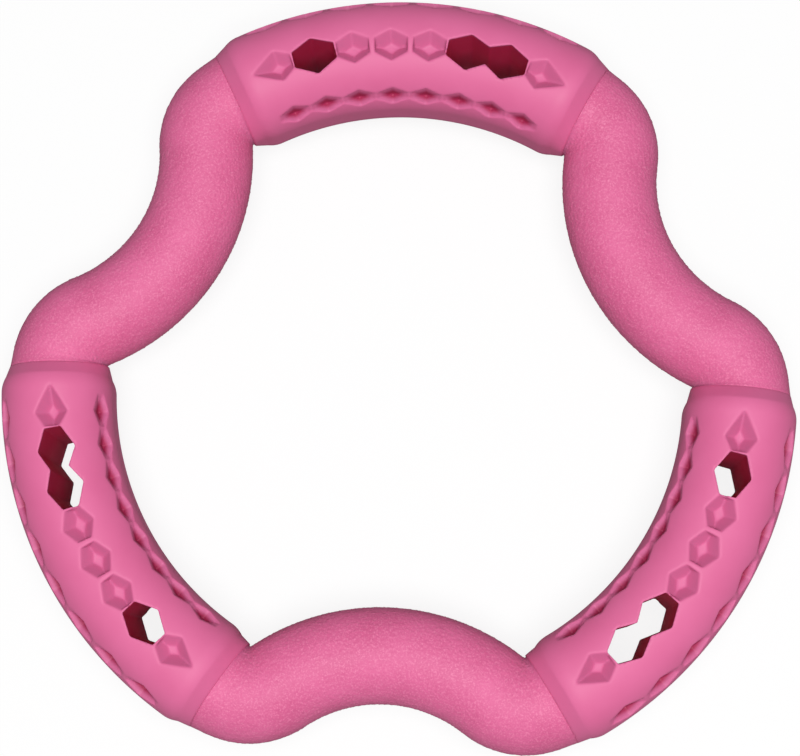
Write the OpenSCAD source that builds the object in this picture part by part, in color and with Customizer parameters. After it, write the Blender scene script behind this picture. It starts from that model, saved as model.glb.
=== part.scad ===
// Rubber chew ring: three smooth sleeves with honeycomb windows, joined by three
// grained grips that bow in towards the middle. Each grip is plugged into the two
// sleeves beside it. The ring lies flat, +Z is up, and the origin is the ring's
// centre at half its thickness. Lengths are in millimetres, angles in degrees.

/* [Ring] */
// Radius of the circle that the middle line of the sleeves follows
ring_r = 90; // [86:0.5:96]
// Angle round the ring of the curved part of one sleeve
sleeve_angle = 53.9; // [53.3:0.1:55.5]

/* [Sleeve section] */
// Radius of the round front and back of a sleeve, which is half its width
sleeve_r = 14.6; // [14:0.1:15.4]
// Height of the straight band between the round front and the round back
sleeve_band = 5.8; // [3:0.2:8]

/* [Sleeve ends] */
// Length of the first part of an end, where the section rounds off
round_len = 3.9; // [3:0.1:4.6]
// How much the section has drawn in where the steep collar begins
round_drop = 1; // [0.6:0.05:1.2]
// Length of the steep collar that closes down to the grip
collar_len = 3.3; // [2.6:0.1:3.8]
// How far the end of a sleeve stands out round the grip
collar_lip = 0.4; // [0.2:0.05:0.6]

/* [Grips] */
// Radius of the round section of a grip
grip_r = 12.7; // [11.5:0.1:13]
// Radius of the inside of the tight bend next to a sleeve
bend_inner_r = 0.7; // [0.3:0.1:4]
// Radius of the long bow at the middle of a grip
waist_r = 47.8; // [40:0.2:60]

/* [Joints between grips and sleeves] */
// Radius of the plug at each end of a grip
plug_r = 8; // [6:0.1:9]
// Length of the plug
plug_len = 11.5; // [9:0.1:12]
// Radius of the round bead that locks the plug in its socket
bead_r = 1; // [0.6:0.1:1.3]
// Space for the bond between plug and socket, all round and at the end
bond_gap = 0.15; // [0.1:0.05:0.3]

/* [Row of cells] */
// Angle round the ring from one cell to the next
pitch_angle = 6.48; // [6.4:0.02:6.6]
// How far the row of cells lies inside the middle line
row_inset = 0.8; // [0:0.1:1.5]
// Half the cell's size across the ring, from its middle to a point
cell_half = 4.85; // [4.4:0.05:5.1]
// Half the length of the flat side between two cells
cell_side_half = 2.1; // [1.6:0.05:2.4]

/* [Windows] */
// Half the width of a window that goes right through, along the ring
window_half = 5.65; // [5.4:0.05:5.75]
// How far a window is set from its place in the row towards its end of the sleeve
window_shift = 0.3; // [0.2:0.05:0.4]

/* [Pockets] */
// Half the width of a pocket, along the ring
pocket_half = 4.35; // [4.1:0.02:4.4]
// Extra half size across the ring of a pocket's outline, level with the crown
pocket_flare = 0.1; // [0.05:0.05:0.3]
// Depth of a pocket below the crown of the sleeve
pocket_depth = 4; // [3:0.1:4.6]
// Lean of the slanted walls of a pocket from upright
wall_angle = 37; // [25:1:42]
// Lean of the walls that face along the ring
rib_angle = 8; // [4:1:15]
// Length of the long point of an end pocket, from its middle
point_len = 6.8; // [6:0.1:7.4]
// How far the widest place of an end pocket is set back from its middle
point_back = 0.6; // [0:0.1:1]
// Extra distance of an end pocket from the window beside it
point_gap = 0.6; // [0.4:0.05:0.8]

/* [Dimples on the shoulders] */
// Angle of the dimple rows round the section, from the crown
dimple_angle = 60; // [57:1:62]
// Half the size of a dimple round the section, from its middle to a point
dimple_half = 3.45; // [3.2:0.05:3.7]
// Half the length of the flat side between two dimples
dimple_side_half = 1; // [0.7:0.1:1.4]
// Depth of a dimple
dimple_depth = 3; // [2.2:0.1:3.2]
// How far the deepest point of a dimple lies beyond its middle, away from the crown
dimple_shift = 2.3; // [1.6:0.1:2.4]
// Width of the ridge between two dimples
dimple_ridge = 0.2; // [0.1:0.05:0.6]

/* [Hidden] */

// Smoothness of true rounds, and of the collars
$fn = 120;
collar_fn = 48;
// One overrun serves every cut
over = 1;
// The collars start this much inside the rounded ends, all round and lengthwise
collar_inset = 0.1;

sleeve_colour = [0.89, 0.46, 0.64];
grip_colour = [0.85, 0.42, 0.60];

// Places round the ring: three lobes, a sleeve on each and a grip between
lobes = 3;
sleeve_half = sleeve_angle / 2;
grip_half = 180 / lobes - sleeve_half;
crown = sleeve_r + sleeve_band / 2;

// The rounded end meets the straight side of the section with this radius
round_r = (pow(round_len, 2) + pow(round_drop, 2)) / (2 * round_drop);
end_len = round_len + collar_len;
lip_r = grip_r + collar_lip;

// The cells in the row, from one end of a sleeve to the other: a pointed pocket,
// a window, pockets, two windows that run into each other, and a pointed pocket
cells = ["point", "window", "pocket", "pocket", "pocket", "window", "window", "point"];
function cell_angle(i) = ((len(cells) - 1) / 2 - i) * pitch_angle;

// Centres of the two bends of a grip, with the middle of the grip on +X
bend_r = grip_r + bend_inner_r;
bend_x = (ring_r - bend_r) * cos(grip_half) + end_len * sin(grip_half);
bend_y = (ring_r - bend_r) * sin(grip_half) - end_len * cos(grip_half);
waist_x = bend_x + sqrt(pow(bend_r + waist_r, 2) - pow(bend_y, 2));
waist_half = atan2(bend_y, waist_x - bend_x);
// Arcs run on this far past a middle plane before they are cut there
spare_angle = atan2(over, waist_r);

// Round ends with a straight band between, standing along the second axis
module obround(r, band) {
    for (side = [-1, 1])
        translate([0, side * band / 2])
            circle(r);
    square([2 * r, band], center = true);
}

// A six-sided outline with points across the ring and flat sides along it
function cell_outline(half, side_half, width_half) = [
    [half, 0], [side_half, width_half], [-side_half, width_half],
    [-half, 0], [-side_half, -width_half], [side_half, -width_half]
];

// The outline of an end pocket, with its long point towards the end of the sleeve
function point_outline(half, side_half, width_half) = [
    [half, -point_back], [0, point_len], [-half, -point_back],
    [-side_half, -width_half], [side_half, -width_half]
];

// Everything inside one wall of a pocket: a block whose face runs along the side
// from p to q at the top and leans in below it
module inside_wall(p, q, lean, reach) {
    along = q - p;
    outward = atan2(-along[0], along[1]);
    distance = (p[0] * along[1] - p[1] * along[0]) / norm(along);
    rotate([0, 0, outward])
        translate([distance, 0, 0])
            rotate([0, lean, 0])
                translate([-reach, 0, 0])
                    cube([2 * reach, 2 * reach, 2 * reach], center = true);
}

// The room of a pocket, sunk from the crown. A side that faces along the ring
// stands nearly upright, and the slanted sides lean in to a small floor
module pocket(outline) {
    count = len(outline);
    reach = 2 * (point_len + pocket_depth);
    translate([0, 0, crown])
        intersection() {
            translate([0, 0, (over - pocket_depth) / 2])
                cube([reach, reach, over + pocket_depth], center = true);
            intersection_for (i = [0:count - 1]) {
                p = outline[i];
                q = outline[(i + 1) % count];
                inside_wall(p, q, p[1] == q[1] ? rib_angle : wall_angle, reach);
            }
        }
}

// Puts its children at a cell of the row
module at_cell(angle) {
    rotate([0, 0, angle])
        translate([ring_r - row_inset, 0, 0])
            children();
}

// All that is cut from the row: windows through the sleeve, and pockets in its
// front and its back
module row_cuts() {
    pocket_across = cell_half + pocket_flare;
    pocket_side = cell_side_half + pocket_flare;
    point_turn = atan2(point_gap, ring_r);
    window_turn = atan2(window_shift, ring_r);
    for (i = [0:len(cells) - 1]) {
        outer_end = i < len(cells) / 2 ? 1 : -1;
        if (cells[i] == "window")
            at_cell(cell_angle(i) + outer_end * window_turn)
                linear_extrude(2 * (crown + over), center = true)
                    polygon(cell_outline(cell_half, cell_side_half, window_half));
        else
            for (face = [0, 1])
                mirror([0, 0, face])
                    if (cells[i] == "pocket")
                        at_cell(cell_angle(i))
                            pocket(cell_outline(pocket_across, pocket_side, pocket_half));
                    else
                        at_cell(cell_angle(i) + outer_end * point_turn)
                            mirror([0, (1 - outer_end) / 2, 0])
                                pocket(point_outline(pocket_across, pocket_side, pocket_half));
    }
}

// A six-sided pyramid that points down, with its deepest point off its middle and
// its rim raised clear of the surface
module dimple(width_half, shift) {
    grow = (dimple_depth + over) / dimple_depth;
    deepest = [shift, 0];
    rim = [for (p = cell_outline(dimple_half, dimple_side_half, width_half)) deepest + (p - deepest) * grow];
    count = len(rim);
    polyhedron(
        points = concat([for (p = rim) [p[0], p[1], over]], [[shift, 0, -dimple_depth]]),
        faces = concat(
            [[for (i = [count - 1:-1:0]) i]],
            [for (i = [0:count - 1]) [i, (i + 1) % count, count]]
        )
    );
}

// Rows of dimples on the inner and outer shoulders, front and back
module dimple_cuts() {
    for (face = [0, 1], side = [-1, 1], i = [0:len(cells) - 1]) {
        row_r = ring_r + side * sleeve_r * sin(dimple_angle);
        width_half = row_r * tan(pitch_angle / 2) - dimple_ridge / 2;
        mirror([0, 0, face])
            rotate([0, 0, cell_angle(i)])
                translate([row_r, 0, sleeve_band / 2 + sleeve_r * cos(dimple_angle)])
                    rotate([0, side * dimple_angle, 0])
                        dimple(width_half, side * dimple_shift);
    }
}

// Half the outline of a rounded end, from its middle line outwards
module round_profile() {
    intersection() {
        square([sleeve_r, round_len]);
        translate([sleeve_r - round_r, 0])
            circle(round_r);
    }
}

// The rounded end of a sleeve: its round front and back, and the band between
module round_end() {
    for (face = [0, 1])
        mirror([0, 0, face])
            translate([0, 0, sleeve_band / 2])
                rotate([90, 0, 0])
                    mirror([0, 0, 1])
                        rotate_extrude(angle = 180)
                            round_profile();
    linear_extrude(sleeve_band, center = true)
        for (side = [0, 1])
            mirror([side, 0, 0])
                round_profile();
}

// The steep collar from the rounded end down to the grip
module collar() {
    hull() {
        translate([0, round_len - collar_inset, 0])
            rotate([-90, 0, 0])
                linear_extrude(2 * collar_inset)
                    obround(sleeve_r - round_drop - collar_inset, sleeve_band, $fn = collar_fn);
        translate([0, end_len - collar_inset, 0])
            rotate([-90, 0, 0])
                cylinder(r = lip_r, h = collar_inset, $fn = collar_fn);
    }
}

// The plug at the end of a grip, standing up from its root, or with a clearance
// the socket that takes it
module plug(clearance, root) {
    translate([0, 0, -root])
        cylinder(r = plug_r + clearance, h = plug_len + clearance + root);
    translate([0, 0, plug_len / 2])
        rotate_extrude()
            translate([plug_r, 0])
                circle(bead_r + clearance);
}

// Room on the far side of the middle of a half
module far_side() {
    reach = 2 * ring_r;
    translate([0, -reach, -reach / 2])
        cube([reach, reach, reach]);
}

// Half a sleeve with its middle on +X: the curved part, the end and the socket
module half_sleeve() {
    difference() {
        rotate([0, 0, sleeve_half])
            translate([ring_r, 0, 0])
                difference() {
                    union() {
                        translate([-ring_r, 0, 0])
                            mirror([0, 1, 0])
                                rotate_extrude(angle = sleeve_half + spare_angle)
                                    translate([ring_r, 0])
                                        obround(sleeve_r, sleeve_band);
                        round_end();
                        collar();
                    }
                    translate([0, end_len, 0])
                        rotate([90, 0, 0])
                            plug(bond_gap, over);
                }
        far_side();
    }
}

module sleeve(angle) {
    color(sleeve_colour)
        rotate([0, 0, angle])
            difference() {
                for (side = [0, 1])
                    mirror([0, side, 0])
                        half_sleeve();
                row_cuts();
                dimple_cuts();
            }
}

// Half a grip with its middle on +X: half the long bow, the tight bend and the plug
module half_grip() {
    difference() {
        union() {
            translate([waist_x, 0, 0])
                rotate([0, 0, -waist_half]) {
                    rotate([0, 0, 180])
                        rotate_extrude(angle = waist_half + spare_angle)
                            translate([waist_r, 0])
                                circle(grip_r);
                    translate([-waist_r - bend_r, 0, 0])
                        rotate_extrude(angle = waist_half + grip_half)
                            translate([bend_r, 0])
                                circle(grip_r);
                }
            rotate([0, 0, grip_half])
                translate([ring_r, -end_len, 0])
                    rotate([-90, 0, 0])
                        plug(0, over);
        }
        far_side();
    }
}

module grip(angle) {
    color(grip_colour)
        rotate([0, 0, angle])
            for (side = [0, 1])
                mirror([0, side, 0])
                    half_grip();
}

module sleeve_top() {
    sleeve(90);
}

module sleeve_lower_left() {
    sleeve(90 + 360 / lobes);
}

module sleeve_lower_right() {
    sleeve(90 - 360 / lobes);
}

module grip_upper_right() {
    grip(90 - 180 / lobes);
}

module grip_upper_left() {
    grip(90 + 180 / lobes);
}

module grip_bottom() {
    grip(90 + 3 * 180 / lobes);
}

sleeve_top();
sleeve_lower_left();
sleeve_lower_right();
grip_upper_right();
grip_upper_left();
grip_bottom();
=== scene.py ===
"""Rubber chew ring: three smooth sleeves and three grained grips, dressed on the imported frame.

Lengths in the making of the meshes are in millimetres, as in the part's source, and each mesh is
scaled to metres once at its end. Nothing here is random: noise comes from hashed grid points.
"""

import math

import bpy
import numpy as np
from mathutils import Matrix, Vector


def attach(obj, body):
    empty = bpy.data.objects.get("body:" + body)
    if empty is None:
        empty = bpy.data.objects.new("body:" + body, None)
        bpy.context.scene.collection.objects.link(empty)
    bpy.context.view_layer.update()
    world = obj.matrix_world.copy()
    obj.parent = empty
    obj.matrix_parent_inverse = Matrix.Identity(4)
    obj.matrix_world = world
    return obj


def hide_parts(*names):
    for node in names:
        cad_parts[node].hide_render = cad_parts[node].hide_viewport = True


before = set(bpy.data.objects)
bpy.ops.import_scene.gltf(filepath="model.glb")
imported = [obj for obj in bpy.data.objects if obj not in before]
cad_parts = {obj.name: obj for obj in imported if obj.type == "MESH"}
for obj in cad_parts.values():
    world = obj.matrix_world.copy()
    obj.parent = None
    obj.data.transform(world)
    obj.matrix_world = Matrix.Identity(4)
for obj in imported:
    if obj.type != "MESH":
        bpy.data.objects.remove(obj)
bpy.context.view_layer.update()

MM = 0.001

# Sizes, as in the part's source
RING_R = 90.0
SLEEVE_HALF = math.radians(53.9 / 2)
SLEEVE_R, BAND = 14.6, 5.8
ROUND_LEN, ROUND_DROP, COLLAR_LEN, COLLAR_LIP = 3.9, 1.0, 3.3, 0.4
GRIP_R, BEND_INNER_R, WAIST_R = 12.7, 0.7, 47.8
PLUG_R, PLUG_LEN, BEAD_R, BOND_GAP = 8.0, 11.5, 1.0, 0.15
PITCH = math.radians(6.48)
ROW_INSET, CELL_HALF, CELL_SIDE_HALF = 0.8, 4.85, 2.1
WINDOW_HALF, WINDOW_SHIFT = 5.65, 0.3
POCKET_HALF, POCKET_FLARE, POCKET_DEPTH = 4.35, 0.1, 4.0
WALL_ANGLE, RIB_ANGLE = math.radians(37), math.radians(8)
POINT_LEN, POINT_BACK, POINT_GAP = 6.8, 0.6, 0.6
DIMPLE_ANGLE, DIMPLE_HALF, DIMPLE_SIDE_HALF = math.radians(60), 3.45, 1.0
DIMPLE_DEPTH, DIMPLE_SHIFT, DIMPLE_RIDGE = 3.0, 2.3, 0.2
CELLS = ["point", "window", "pocket", "pocket", "pocket", "window", "window", "point"]

CROWN = SLEEVE_R + BAND / 2
ARC_LEN = RING_R * SLEEVE_HALF
END_LEN = ROUND_LEN + COLLAR_LEN
ROUND_R = (ROUND_LEN ** 2 + ROUND_DROP ** 2) / (2 * ROUND_DROP)
LIP_R = GRIP_R + COLLAR_LIP
GRIP_HALF = math.pi / 3 - SLEEVE_HALF
BEND_R = GRIP_R + BEND_INNER_R

# Rounding of edges in the rubber
EDGE_SOFT, POCKET_EDGE_SOFT, DIMPLE_EDGE_SOFT = 0.2, 0.4, 0.2
CORNER_SOFT, POCKET_CORNER_SOFT, DIMPLE_CORNER_SOFT, FLOOR_SOFT = 0.4, 0.2, 0.1, 0.3
LIP_SOFT = 0.25
# How far past its lip the collar's cone runs on, and the factor that brings its distances near to true ones
COLLAR_OVERRUN, COLLAR_SLOPE = 1.3, 0.8
# Size of a cell of the sleeve's grid and of a step along and round a grip
NET_STEP = 0.49
GRIP_STEP = 0.32


# The sleeve as a distance field

def smax(a, b, soft):
    """The larger of two distances, with the corner between them rounded over."""
    h = np.maximum(soft - np.abs(a - b), 0) / soft
    return np.maximum(a, b) + h * h * soft * 0.25


def place(along, out):
    """Plan position of a point that is so far along the sleeve and out from its middle line."""
    past = np.maximum(np.abs(along) - ARC_LEN, 0) * np.sign(along)
    angle = np.clip(along, -ARC_LEN, ARC_LEN) / RING_R
    r = RING_R + out
    return r * np.cos(angle) - past * np.sin(angle), r * np.sin(angle) + past * np.cos(angle)


def tube_field(along, out, z):
    """The plain sleeve: an obround section with rounded ends and steep collars."""
    past = np.abs(along) - ARC_LEN
    drop = ROUND_R - np.sqrt(ROUND_R ** 2 - np.clip(past, 0, ROUND_LEN) ** 2)
    share = np.clip((past - ROUND_LEN) / COLLAR_LEN, 0, COLLAR_OVERRUN)
    r = SLEEVE_R - drop - share * (SLEEVE_R - ROUND_DROP - LIP_R)
    half_band = BAND / 2 * np.clip(1 - share, 0, 1)
    d = np.hypot(out, np.maximum(np.abs(z) - half_band, 0)) - r
    d = d * np.where(past > ROUND_LEN, COLLAR_SLOPE, 1.0)
    d = smax(d, np.abs(along) - ARC_LEN - END_LEN, LIP_SOFT)
    return d


def socket_field(along, out, z):
    """The two sockets, with the groove for the bead."""
    depth = ARC_LEN + END_LEN - np.abs(along)
    r = np.hypot(out, z)
    hole = np.maximum(r - PLUG_R - BOND_GAP, depth - PLUG_LEN - BOND_GAP)
    bead = np.hypot(r - PLUG_R, depth - PLUG_LEN / 2) - BEAD_R - BOND_GAP
    return np.minimum(hole, bead)


def walls(points, a, t):
    """Distance out of each side of a convex outline whose points run counter-clockwise."""
    found = []
    for i, p in enumerate(points):
        q = points[(i + 1) % len(points)]
        da, dt = q[0] - p[0], q[1] - p[1]
        size = math.hypot(da, dt)
        faces_along = abs(dt) < 1e-9
        found.append((((a - p[0]) * dt - (t - p[1]) * da) / size, faces_along))
    return found


def cell_outline(half, side_half, width):
    """A hexagon with a point to each side of the row, and flat sides towards the cells beside it."""
    return [(half, 0), (side_half, width), (-side_half, width), (-half, 0), (-side_half, -width), (side_half, -width)]


def point_outline(half, side_half, width):
    """A cell at an end of the row, drawn out to a point away from the other cells."""
    return [(half, -POINT_BACK), (0, POINT_LEN), (-half, -POINT_BACK), (-side_half, -width), (side_half, -width)]


def window_field(a, t):
    """A cell that goes right through, with upright walls."""
    d = None
    for wall, _ in walls(cell_outline(CELL_HALF, CELL_SIDE_HALF, WINDOW_HALF), a, t):
        d = wall if d is None else smax(d, wall, CORNER_SOFT)
    return d


def pocket_field(outline, a, t, z):
    """A blind cell with leaning walls and a flat floor, on both faces."""
    below = CROWN - np.abs(z)
    d = None
    for wall, faces_along in walls(outline, a, t):
        lean = RIB_ANGLE if faces_along else WALL_ANGLE
        side = wall * math.cos(lean) + below * math.sin(lean)
        d = side if d is None else smax(d, side, POCKET_CORNER_SOFT)
    return smax(d, below - POCKET_DEPTH, FLOOR_SOFT)


def dimple_field(across, t, up, width):
    """A pit whose sides run from a cell's outline down to one deepest point."""
    outline = cell_outline(DIMPLE_HALF, DIMPLE_SIDE_HALF, width)
    d = None
    for (wall, _), (middle, _) in zip(walls(outline, across, t), walls(outline, DIMPLE_SHIFT, 0.0)):
        reach = -middle
        side = (wall * DIMPLE_DEPTH - up * reach) / math.hypot(reach, DIMPLE_DEPTH)
        d = side if d is None else smax(d, side, DIMPLE_CORNER_SOFT)
    return d


def cell_angle(i):
    """Angle of a cell of the row about the ring's middle, from the middle of the sleeve."""
    return ((len(CELLS) - 1) / 2 - i) * PITCH


def sleeve_field(along, out, z):
    """The whole sleeve: the tube less its cells, dimples and sockets."""
    x, y = place(along, out)
    d = tube_field(along, out, z)

    def at_cell(angle, r):
        return x * math.cos(angle) + y * math.sin(angle) - r, y * math.cos(angle) - x * math.sin(angle)

    point_turn, window_turn = math.atan2(POINT_GAP, RING_R), math.atan2(WINDOW_SHIFT, RING_R)
    flared = CELL_HALF + POCKET_FLARE, CELL_SIDE_HALF + POCKET_FLARE, POCKET_HALF
    for i, kind in enumerate(CELLS):
        side = 1 if i < len(CELLS) / 2 else -1
        if kind == "window":
            a, t = at_cell(cell_angle(i) + side * window_turn, RING_R - ROW_INSET)
            d = smax(d, -window_field(a, t), EDGE_SOFT)
        elif kind == "pocket":
            a, t = at_cell(cell_angle(i), RING_R - ROW_INSET)
            d = smax(d, -pocket_field(cell_outline(*flared), a, t, z), POCKET_EDGE_SOFT)
        else:
            a, t = at_cell(cell_angle(i) + side * point_turn, RING_R - ROW_INSET)
            d = smax(d, -pocket_field(point_outline(*flared), a, side * t, z), POCKET_EDGE_SOFT)
    sin_row, cos_row = math.sin(DIMPLE_ANGLE), math.cos(DIMPLE_ANGLE)
    rise = np.abs(z) - BAND / 2 - SLEEVE_R * cos_row
    for side in (-1, 1):
        row_r = RING_R + side * SLEEVE_R * sin_row
        width = row_r * math.tan(PITCH / 2) - DIMPLE_RIDGE / 2
        for i in range(len(CELLS)):
            p, t = at_cell(cell_angle(i), row_r)
            up = p * side * sin_row + rise * cos_row
            across = p * side * cos_row - rise * sin_row
            d = smax(d, -dimple_field(across, t, up, width), DIMPLE_EDGE_SOFT)
    return np.maximum(d, -socket_field(along, out, z))


# Meshing a distance field

# Step for a slope, share by which a cell's point is pulled to the middle of its crossings, and how often a
# crossing is refined
PROBE, PULL_TO_MIDDLE, REFINEMENTS = 0.02, 0.03, 2


def crossings(field, axes, inside, values):
    """For each axis, the grid edges that the surface crosses, where, and the field's slope there."""
    found = []
    for axis in range(3):
        step = np.eye(3, dtype=int)[axis]
        n = np.array(inside.shape) - step
        near = inside[:n[0], :n[1], :n[2]]
        far = inside[step[0]:, step[1]:, step[2]:]
        edges = np.argwhere(near != far)
        a, b = values[tuple(edges.T)], values[tuple((edges + step).T)]
        spot = np.stack([axes[k][edges[:, k]] for k in range(3)], 1)
        low, high = np.zeros(len(edges)), np.ones(len(edges))
        share = a / (a - b)
        for _ in range(REFINEMENTS):
            p = spot + (share * NET_STEP)[:, None] * step
            d = field(*p.T)
            left = (d < 0) == (a < 0)
            low, a = np.where(left, share, low), np.where(left, d, a)
            high, b = np.where(left, high, share), np.where(left, b, d)
            share = low + (high - low) * a / np.where(a == b, 1, a - b)
        p = spot + (share * NET_STEP)[:, None] * step
        d = field(*p.T)
        slope = np.stack([field(*(p + PROBE * np.eye(3)[k]).T) - d for k in range(3)], 1)
        slope /= np.maximum(np.linalg.norm(slope, axis=1), 1e-9)[:, None]
        found.append((edges, p, slope, near[tuple(edges.T)]))
    return found


def surface_net(field, axes):
    """Points and quads of the field's zero level, with a point on each crease that a cell holds."""
    values = field(*np.meshgrid(*axes, indexing="ij"))
    inside = values < 0
    n = np.array(inside.shape) - 1
    index = np.full(n, -1, np.int64)
    found = crossings(field, axes, inside, values)
    owners = []
    for axis, (edges, *_) in enumerate(found):
        u, v = [(1, 2), (2, 0), (0, 1)][axis]
        around = []
        for du, dv in ((1, 1), (0, 1), (0, 0), (1, 0)):
            cell = edges.copy()
            cell[:, u] -= du
            cell[:, v] -= dv
            around.append(cell)
        owners.append(np.stack(around, 1))
    cells = np.unique(np.concatenate([o.reshape(-1, 3) for o in owners]), axis=0)
    cells = cells[((cells >= 0) & (cells < n)).all(1)]
    index[tuple(cells.T)] = np.arange(len(cells))
    grid, pull, middle, hits = (np.zeros((len(cells), *shape)) for shape in ((3, 3), (3,), (3,), ()))
    quads = []
    for owner, (edges, p, slope, near) in zip(owners, found):
        ok = ((owner >= 0) & (owner < n)).all(2).all(1)
        owner, p, slope, near = owner[ok], p[ok], slope[ok], near[ok]
        quad = index[tuple(owner.reshape(-1, 3).T)].reshape(-1, 4)
        for corner in range(4):
            at = quad[:, corner]
            np.add.at(grid, at, slope[:, :, None] * slope[:, None, :])
            np.add.at(pull, at, slope * (slope * p).sum(1)[:, None])
            np.add.at(middle, at, p)
            np.add.at(hits, at, 1)
        quad[~near] = quad[~near][:, ::-1]
        quads.append(quad)
    hits = np.maximum(hits, 1)
    middle /= hits[:, None]
    grid += PULL_TO_MIDDLE * hits[:, None, None] * np.eye(3)
    pull += PULL_TO_MIDDLE * hits[:, None] * middle
    spot = np.linalg.solve(grid, pull[..., None])[..., 0]
    low = np.stack([axes[k][cells[:, k]] for k in range(3)], 1)
    return np.clip(spot, low, low + NET_STEP), np.vstack(quads)


# Depths over which painted shade comes in, in dimples and in windows, the least distance of a dimple from the
# row, and how far past a dimple's depth and a window's side a point still counts as part of it
PIT_SHADE_FROM, PIT_SHADE_TO, PIT_SIDE, PIT_SLACK = 0.8, 1.9, 8.5, 0.5
WINDOW_SHADE_FROM, WINDOW_SHADE_TO, WINDOW_SLACK = 0.1, 1.2, 0.1


def sleeve_mesh():
    """Points in millimetres, with the sleeve's middle on +X, quads, and how much painted shade each point takes."""
    def span(reach):
        return np.arange(-reach - 2 * NET_STEP, reach + 2.01 * NET_STEP, NET_STEP)

    axes = span(ARC_LEN + END_LEN), span(SLEEVE_R), span(CROWN)
    p, quads = surface_net(sleeve_field, axes)
    depth = -tube_field(*p.T)
    beside = np.abs(p[:, 1]) > PIT_SIDE
    # Painted shade in the deep part of the dimples, carried by the attribute pit
    pit = np.clip((depth - PIT_SHADE_FROM) / (PIT_SHADE_TO - PIT_SHADE_FROM), 0, 1) * (beside & (depth < DIMPLE_DEPTH + PIT_SLACK))
    x, y = place(p[:, 0], p[:, 1])
    in_window = np.zeros(len(p), bool)
    for i, kind in enumerate(CELLS):
        if kind == "window":
            side = 1 if i < len(CELLS) / 2 else -1
            angle = cell_angle(i) + side * math.atan2(WINDOW_SHIFT, RING_R)
            in_window |= np.abs(y * math.cos(angle) - x * math.sin(angle)) < WINDOW_HALF + WINDOW_SLACK
    # Painted shade on the walls of the windows, carried by the attribute window
    window = np.clip((depth - WINDOW_SHADE_FROM) / (WINDOW_SHADE_TO - WINDOW_SHADE_FROM), 0, 1) * (in_window & ~beside)
    return np.stack([x, y, np.clip(p[:, 2], -CROWN, CROWN)], 1), quads, {"pit": pit, "window": window}


# The grip as a swept tube

# Pebbles of the grain, the steps over which they fade in from an end, and the fillet at the collar
GRAIN_SIZE, GRAIN_DEPTH, GRAIN_FADE = 0.95, 0.2, 9
SEAM_LEN, SEAM_RISE = 2.0, 0.34
BEAD_RINGS = 9


def hashed(cells, salt):
    """A steady value from 0 to 1 for each whole-number cell."""
    h = (cells[:, 0] * 374761393 + cells[:, 1] * 668265263 + cells[:, 2] * 2147483647 + salt * 974711) & 0xFFFFFFFF
    h = ((h ^ (h >> 13)) * 1274126177) & 0xFFFFFFFF
    return ((h ^ (h >> 16)) & 0xFFFFFF) / float(0xFFFFFF)


def pebbles(p, size):
    """0 at the middle of a pebble and up to about 1 in the grooves between pebbles."""
    q = p / size
    base = np.floor(q).astype(np.int64)
    near = np.full(len(q), np.inf)
    second = np.full(len(q), np.inf)
    for i in (-1, 0, 1):
        for j in (-1, 0, 1):
            for k in (-1, 0, 1):
                cell = base + (i, j, k)
                spot = cell + np.stack([hashed(cell, s) for s in (1, 2, 3)], 1)
                d = np.linalg.norm(q - spot, axis=1)
                second = np.minimum(second, np.maximum(near, d))
                near = np.minimum(near, d)
    return near / np.maximum(near + second, 1e-6) * 2


def grip_path():
    """Spots, normals and radii along a grip from one sleeve to the other, with the grip's middle on +X."""
    bend = np.array([
        (RING_R - BEND_R) * math.cos(GRIP_HALF) + END_LEN * math.sin(GRIP_HALF),
        (RING_R - BEND_R) * math.sin(GRIP_HALF) - END_LEN * math.cos(GRIP_HALF),
    ])
    waist_x = bend[0] + math.sqrt((BEND_R + WAIST_R) ** 2 - bend[1] ** 2)
    waist_half = math.atan2(bend[1], waist_x - bend[0])
    bend_turn = GRIP_HALF + waist_half
    bend_len, waist_len = BEND_R * bend_turn, WAIST_R * waist_half
    total = 2 * (bend_len + waist_len)
    steps = 2 * int(total / 2 / GRIP_STEP)
    path = []
    for k in range(steps + 1):
        s = total * k / steps
        mirror = s > total / 2
        u = min(s, total - s)
        if u < bend_len:
            angle = GRIP_HALF - u / BEND_R
            spot = bend + BEND_R * np.array([math.cos(angle), math.sin(angle)])
            normal = np.array([math.cos(angle), math.sin(angle)])
        else:
            angle = waist_half - (u - bend_len) / WAIST_R
            spot = np.array([waist_x - WAIST_R * math.cos(angle), WAIST_R * math.sin(angle)])
            normal = np.array([math.cos(angle), -math.sin(angle)])
        if mirror:
            spot, normal = spot * (1, -1), normal * (1, -1)
        seam = SEAM_RISE * max(1 - u / SEAM_LEN, 0) ** 2
        path.append((spot, normal, GRIP_R + seam))
    return path


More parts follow.
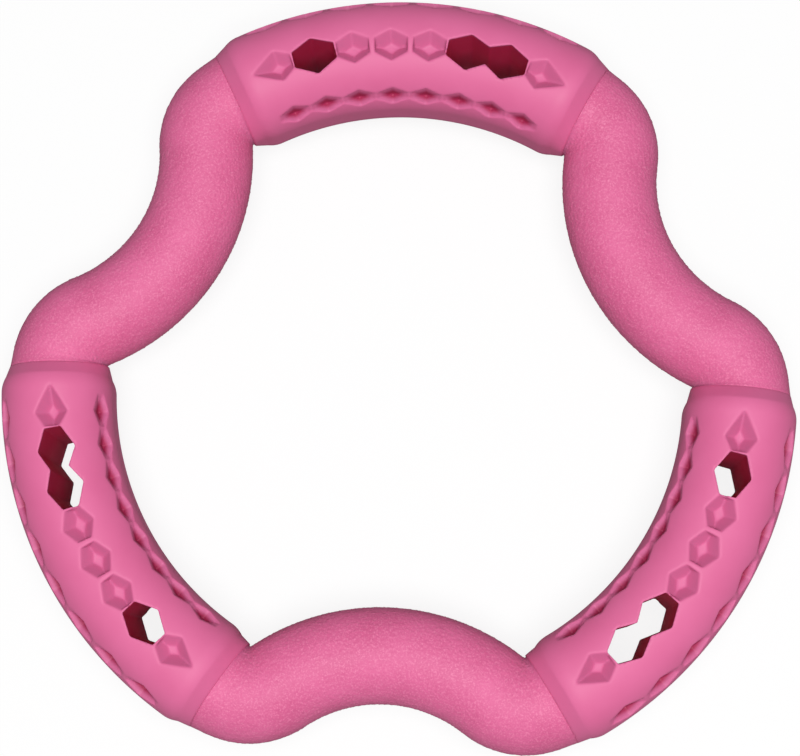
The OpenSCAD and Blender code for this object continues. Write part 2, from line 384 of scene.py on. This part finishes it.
def grip_mesh():
    """Points in millimetres, with the grip's middle on +X, quads, and the triangles of the plugs' ends."""
    path = grip_path()
    count = int(2 * math.pi * GRIP_R / GRIP_STEP)
    turn = np.linspace(0, 2 * math.pi, count, endpoint=False)
    rings = []

    def ring(spot, normal, r):
        out = r * np.cos(turn)
        return np.stack([spot[0] + normal[0] * out, spot[1] + normal[1] * out, r * np.sin(turn)], 1)

    def plug(spot, normal, tangent):
        """Rings from the shoulder out to the tip of the plug."""
        bead = np.linspace(-1, 1, BEAD_RINGS)
        profile = [(0, PLUG_R)]
        profile += [(PLUG_LEN / 2 + BEAD_R * b, PLUG_R + BEAD_R * math.sqrt(max(1 - b * b, 0))) for b in bead]
        profile += [(PLUG_LEN, PLUG_R)]
        return [ring(spot + tangent * u, normal, r) for u, r in profile]

    first, last = path[0], path[-1]
    into_first = np.array([-math.sin(GRIP_HALF), math.cos(GRIP_HALF)])
    into_last = into_first * (1, -1)
    rings += plug(first[0], first[1], into_first)[::-1]
    body_start = len(rings)
    rings += [ring(*station) for station in path]
    body_end = len(rings)
    rings += plug(last[0], last[1], into_last)
    p = np.vstack(rings)
    body = p[body_start * count:body_end * count]
    centre = np.repeat(np.array([[station[0][0], station[0][1], 0.0] for station in path]), count, axis=0)
    outward = (body - centre) / GRIP_R
    index = np.arange(len(path))
    fade = np.clip((np.minimum(index, index[::-1]) - 1) / GRAIN_FADE, 0, 1)
    depth = GRAIN_DEPTH * pebbles(body, GRAIN_SIZE) * np.repeat(fade, count)
    p[body_start * count:body_end * count] = body - outward * depth[:, None]
    k = np.arange(len(rings) - 1)[:, None] * count
    j = np.arange(count)[None]
    nxt = (j + 1) % count
    quads = np.stack([k + j, k + nxt, k + count + nxt, k + count + j], 2).reshape(-1, 4)
    tips = [p[:count].mean(0), p[-count:].mean(0)]
    p = np.vstack([p, tips])
    tris = [(i, len(p) - 2, (i + 1) % count) for i in range(count)]
    base = (len(rings) - 1) * count
    tris += [(base + i, base + (i + 1) % count, len(p) - 1) for i in range(count)]
    return p, quads, np.array(tris)


# Objects

def add_mesh(name, points, quads, angle, tris=None, shades=None):
    """A smooth mesh object, turned about Z by angle, in metres, with its painted shades as attributes."""
    c, s = math.cos(angle), math.sin(angle)
    turned = points @ np.array([[c, s, 0], [-s, c, 0], [0, 0, 1]]) * MM
    mesh = bpy.data.meshes.new(name)
    mesh.vertices.add(len(turned))
    mesh.vertices.foreach_set("co", turned.astype(np.float32).ravel())
    loops = quads.ravel()
    sizes = np.full(len(quads), 4)
    if tris is not None:
        loops = np.concatenate([loops, tris.ravel()])
        sizes = np.concatenate([sizes, np.full(len(tris), 3)])
    mesh.loops.add(len(loops))
    mesh.loops.foreach_set("vertex_index", loops.astype(np.int32))
    mesh.polygons.add(len(sizes))
    mesh.polygons.foreach_set("loop_start", np.concatenate([[0], np.cumsum(sizes)[:-1]]).astype(np.int32))
    mesh.polygons.foreach_set("use_smooth", np.ones(len(sizes), bool))
    mesh.update(calc_edges=True)
    mesh.validate()
    for shade, values in (shades or {}).items():
        mesh.attributes.new(shade, "FLOAT", "POINT").data.foreach_set("value", values.astype(np.float32))
    piece = bpy.data.objects.new(name, mesh)
    bpy.context.scene.collection.objects.link(piece)
    return piece


# Painted shade: colours painted in place of the shade in pockets and other hollows, on the walls of windows and in
# the deep part of dimples
HOLLOW_PAINTED_SHADE, WINDOW_PAINTED_SHADE, PIT_PAINTED_SHADE = (0.64, 0.15, 0.32), (0.68, 0.03, 0.12), (0.4, 0.026, 0.095)
# Scales and details of the noise, in cycles per metre
MOTTLE, FINE, PAINTED_GLINT, PEBBLES_SCALE = (90, 4), (900, 3), (2300, 1), 1000
MOTTLE_LOW, MOTTLE_HIGH = 0.3, 0.7
# Painted glints: light specks lifted into the grips' colour where the fine noise runs between these levels
PAINTED_GLINT_LOW, PAINTED_GLINT_HIGH, PAINTED_GLINT_LIFT = 0.48, 0.75, 0.07
PEBBLE_LOW, PEBBLE_HIGH = 0.1, 0.7
# Share of the sky within HOLLOW_REACH over which the painted shade of pockets and other hollows comes in
HOLLOW_LOW, HOLLOW_HIGH, HOLLOW_REACH, HOLLOW_SAMPLES = 0.65, 0.95, 0.03, 8
ROUGH_SPREAD = 0.05
GRIP_BUMP, SLEEVE_BUMP, BUMP_HEIGHT = 0.6, 0.12, 0.0001
SPECULAR = 0.35


def rubber(name, colour, dark, roughness, grain):
    """Moulded rubber: a faint mottle, painted glints as light specks on the grain, painted shade in pockets and
    other hollows, deeper painted shade in windows and dimples, and a fine bump.
    """
    material = bpy.data.materials.new(name)
    material.use_nodes = True
    tree = material.node_tree
    shader = tree.nodes["Principled BSDF"]
    coords = tree.nodes.new("ShaderNodeTexCoord").outputs["Object"]

    def noise(scale, detail):
        node = tree.nodes.new("ShaderNodeTexNoise")
        node.inputs["Scale"].default_value = scale
        node.inputs["Detail"].default_value = detail
        tree.links.new(coords, node.inputs["Vector"])
        return node.outputs["Fac"]

    def ranged(value, low, high, to_low, to_high):
        node = tree.nodes.new("ShaderNodeMapRange")
        for socket, number in (("From Min", low), ("From Max", high), ("To Min", to_low), ("To Max", to_high)):
            node.inputs[socket].default_value = number
        tree.links.new(value, node.inputs["Value"])
        return node.outputs["Result"]

    def mixed(share, low, high):
        node = tree.nodes.new("ShaderNodeMix")
        node.data_type = "RGBA"
        tree.links.new(share, node.inputs["Factor"])
        for socket, paint in (("A", low), ("B", high)):
            if isinstance(paint, tuple):
                node.inputs[socket].default_value = (*paint, 1)
            else:
                tree.links.new(paint, node.inputs[socket])
        return node.outputs["Result"]

    mottle = noise(*MOTTLE)
    tone = mixed(ranged(mottle, MOTTLE_LOW, MOTTLE_HIGH, 0, 1), dark, colour)
    height = noise(*FINE)
    if grain:
        pebble = tree.nodes.new("ShaderNodeTexVoronoi")
        pebble.inputs["Scale"].default_value = PEBBLES_SCALE
        tree.links.new(coords, pebble.inputs["Vector"])
        # Painted glints: light specks on the grain
        painted_glint = ranged(noise(*PAINTED_GLINT), PAINTED_GLINT_LOW, PAINTED_GLINT_HIGH, 0, 1)
        tone = mixed(painted_glint, tone, tuple(v + PAINTED_GLINT_LIFT for v in colour))
        height = ranged(pebble.outputs["Distance"], PEBBLE_LOW, PEBBLE_HIGH, 1, 0)
    # Painted shade: the colour turns duller where the open sky is cut off, in pockets and other hollows
    open_share = tree.nodes.new("ShaderNodeAmbientOcclusion")
    open_share.samples = HOLLOW_SAMPLES
    open_share.only_local = True
    open_share.inputs["Distance"].default_value = HOLLOW_REACH
    tone = mixed(ranged(open_share.outputs["AO"], HOLLOW_LOW, HOLLOW_HIGH, 0, 1), HOLLOW_PAINTED_SHADE, tone)
    if not grain:
        # Painted shade in the deep part of the dimples and a deeper painted shade on the windows' walls
        for shade, paint in (("pit", PIT_PAINTED_SHADE), ("window", WINDOW_PAINTED_SHADE)):
            node = tree.nodes.new("ShaderNodeAttribute")
            node.attribute_name = shade
            tone = mixed(node.outputs["Fac"], tone, paint)
    tree.links.new(tone, shader.inputs["Base Color"])
    rough = ranged(mottle, MOTTLE_LOW, MOTTLE_HIGH, roughness - ROUGH_SPREAD, roughness + ROUGH_SPREAD)
    tree.links.new(rough, shader.inputs["Roughness"])
    bump = tree.nodes.new("ShaderNodeBump")
    bump.inputs["Strength"].default_value = GRIP_BUMP if grain else SLEEVE_BUMP
    bump.inputs["Distance"].default_value = BUMP_HEIGHT
    tree.links.new(height, bump.inputs["Height"])
    tree.links.new(bump.outputs["Normal"], shader.inputs["Normal"])
    shader.inputs["Specular IOR Level"].default_value = SPECULAR
    return material


SLEEVE_RUBBER = rubber(
    "sleeve_rubber", colour=(0.79, 0.165, 0.36), dark=(0.76, 0.15, 0.335), roughness=0.55, grain=False)
GRIP_RUBBER = rubber(
    "grip_rubber", colour=(0.785, 0.15, 0.34), dark=(0.70, 0.12, 0.285), roughness=0.58, grain=True)

points, quads, shades = sleeve_mesh()
for node, degrees in (("sleeve_top", 90), ("sleeve_lower_left", 210), ("sleeve_lower_right", 330)):
    piece = add_mesh(node + "_rubber", points, quads, math.radians(degrees), shades=shades)
    piece.data.materials.append(SLEEVE_RUBBER)
    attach(piece, "root")
    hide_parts(node)

points, quads, tris = grip_mesh()
for node, degrees in (("grip_upper_right", 30), ("grip_upper_left", 150), ("grip_bottom", 270)):
    piece = add_mesh(node + "_rubber", points, quads, math.radians(degrees), tris=tris)
    piece.data.materials.append(GRIP_RUBBER)
    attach(piece, "root")
    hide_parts(node)

# Camera, fitted to the photo: a long lens, nearly square to the ring
FOCAL_PX, IMAGE_W = 2179.3, 800
TILT_X, TILT_Y, TILT_Z = -0.1436, -0.0327, -0.037
VIEW_X, VIEW_Y, VIEW_DISTANCE = -0.563, -3.399, 641.182
CAMERA_UNIT = RING_R / 100 * MM
CLIP_START = 0.02

turn = Matrix.Rotation(TILT_Z, 3, "Z") @ Matrix.Rotation(TILT_Y, 3, "Y") @ Matrix.Rotation(TILT_X, 3, "X")
spot = turn.transposed() @ Vector((-VIEW_X, -VIEW_Y, VIEW_DISTANCE)) * CAMERA_UNIT
camera = bpy.data.objects.new("camera", bpy.data.cameras.new("camera"))
camera.matrix_world = Matrix.Translation(spot) @ turn.transposed().to_4x4()
camera.data.lens = FOCAL_PX / IMAGE_W * camera.data.sensor_width
camera.data.clip_start = CLIP_START
bpy.context.scene.collection.objects.link(camera)
bpy.context.scene.camera = camera

# Floor, light and world
FLOOR_SIZE, FLOOR_GAP = 6.0, 0.0001
FLOOR_GREY, FLOOR_WHITE, FLOOR_ROUGHNESS = 0.3, 0.95, 0.9
# Share of plain white that the camera sees on the table: the rest keeps a faint shadow of the ring
WHITE_SHARE = 0.85
KEY_AT, KEY_SIZE, KEY_WATTS = (0.06, -0.2, 1.2), 0.8, 15
WORLD_LEVEL = 0.14

mesh = bpy.data.meshes.new("floor")
half = FLOOR_SIZE / 2
drop = -CROWN * MM - FLOOR_GAP
corners = [(-half, -half, drop), (half, -half, drop), (half, half, drop), (-half, half, drop)]
mesh.from_pydata(corners, [], [(0, 1, 2, 3)])
floor = bpy.data.objects.new("floor", mesh)
bpy.context.scene.collection.objects.link(floor)
paint = bpy.data.materials.new("floor")
paint.use_nodes = True
tree = paint.node_tree
shader = tree.nodes["Principled BSDF"]
shader.inputs["Roughness"].default_value = FLOOR_ROUGHNESS
shader.inputs["Specular IOR Level"].default_value = 0.0
# The camera sees a white table, and the ring is lit by a grey one
seen = tree.nodes.new("ShaderNodeLightPath").outputs["Is Camera Ray"]
tone = tree.nodes.new("ShaderNodeMix")
tone.data_type = "RGBA"
tone.inputs["A"].default_value = (FLOOR_GREY, FLOOR_GREY, FLOOR_GREY, 1)
tone.inputs["B"].default_value = (FLOOR_WHITE, FLOOR_WHITE, FLOOR_WHITE, 1)
white = tree.nodes.new("ShaderNodeEmission")
share = tree.nodes.new("ShaderNodeMath")
share.operation = "MULTIPLY"
share.inputs[1].default_value = WHITE_SHARE
mix = tree.nodes.new("ShaderNodeMixShader")
tree.links.new(seen, tone.inputs["Factor"])
tree.links.new(tone.outputs["Result"], shader.inputs["Base Color"])
tree.links.new(seen, share.inputs[0])
tree.links.new(share.outputs["Value"], mix.inputs["Fac"])
tree.links.new(shader.outputs["BSDF"], mix.inputs[1])
tree.links.new(white.outputs["Emission"], mix.inputs[2])
# From below the table is clear, so that the ring's underside shows
below = tree.nodes.new("ShaderNodeNewGeometry").outputs["Backfacing"]
clear = tree.nodes.new("ShaderNodeBsdfTransparent")
one_sided = tree.nodes.new("ShaderNodeMixShader")
tree.links.new(below, one_sided.inputs["Fac"])
tree.links.new(mix.outputs["Shader"], one_sided.inputs[1])
tree.links.new(clear.outputs["BSDF"], one_sided.inputs[2])
tree.links.new(one_sided.outputs["Shader"], tree.nodes["Material Output"].inputs["Surface"])
floor.data.materials.append(paint)

light = bpy.data.lights.new("key", "AREA")
light.shape = "DISK"
light.size = KEY_SIZE
light.energy = KEY_WATTS
lamp = bpy.data.objects.new("key", light)
at = Vector(KEY_AT)
lamp.matrix_world = Matrix.Translation(at) @ at.to_track_quat("Z", "Y").to_matrix().to_4x4()
bpy.context.scene.collection.objects.link(lamp)

world = bpy.data.worlds.new("studio")
bpy.context.scene.world = world
world.use_nodes = True
# The world is white to the camera and dim to the ring
tree = world.node_tree
backdrop = tree.nodes["Background"]
backdrop.inputs["Color"].default_value = (1, 1, 1, 1)
seen = tree.nodes.new("ShaderNodeLightPath").outputs["Is Camera Ray"]
level = tree.nodes.new("ShaderNodeMapRange")
level.inputs["To Min"].default_value = WORLD_LEVEL
level.inputs["To Max"].default_value = 1.0
tree.links.new(seen, level.inputs["Value"])
tree.links.new(level.outputs["Result"], backdrop.inputs["Strength"])

bpy.context.scene.view_settings.view_transform = "Standard"
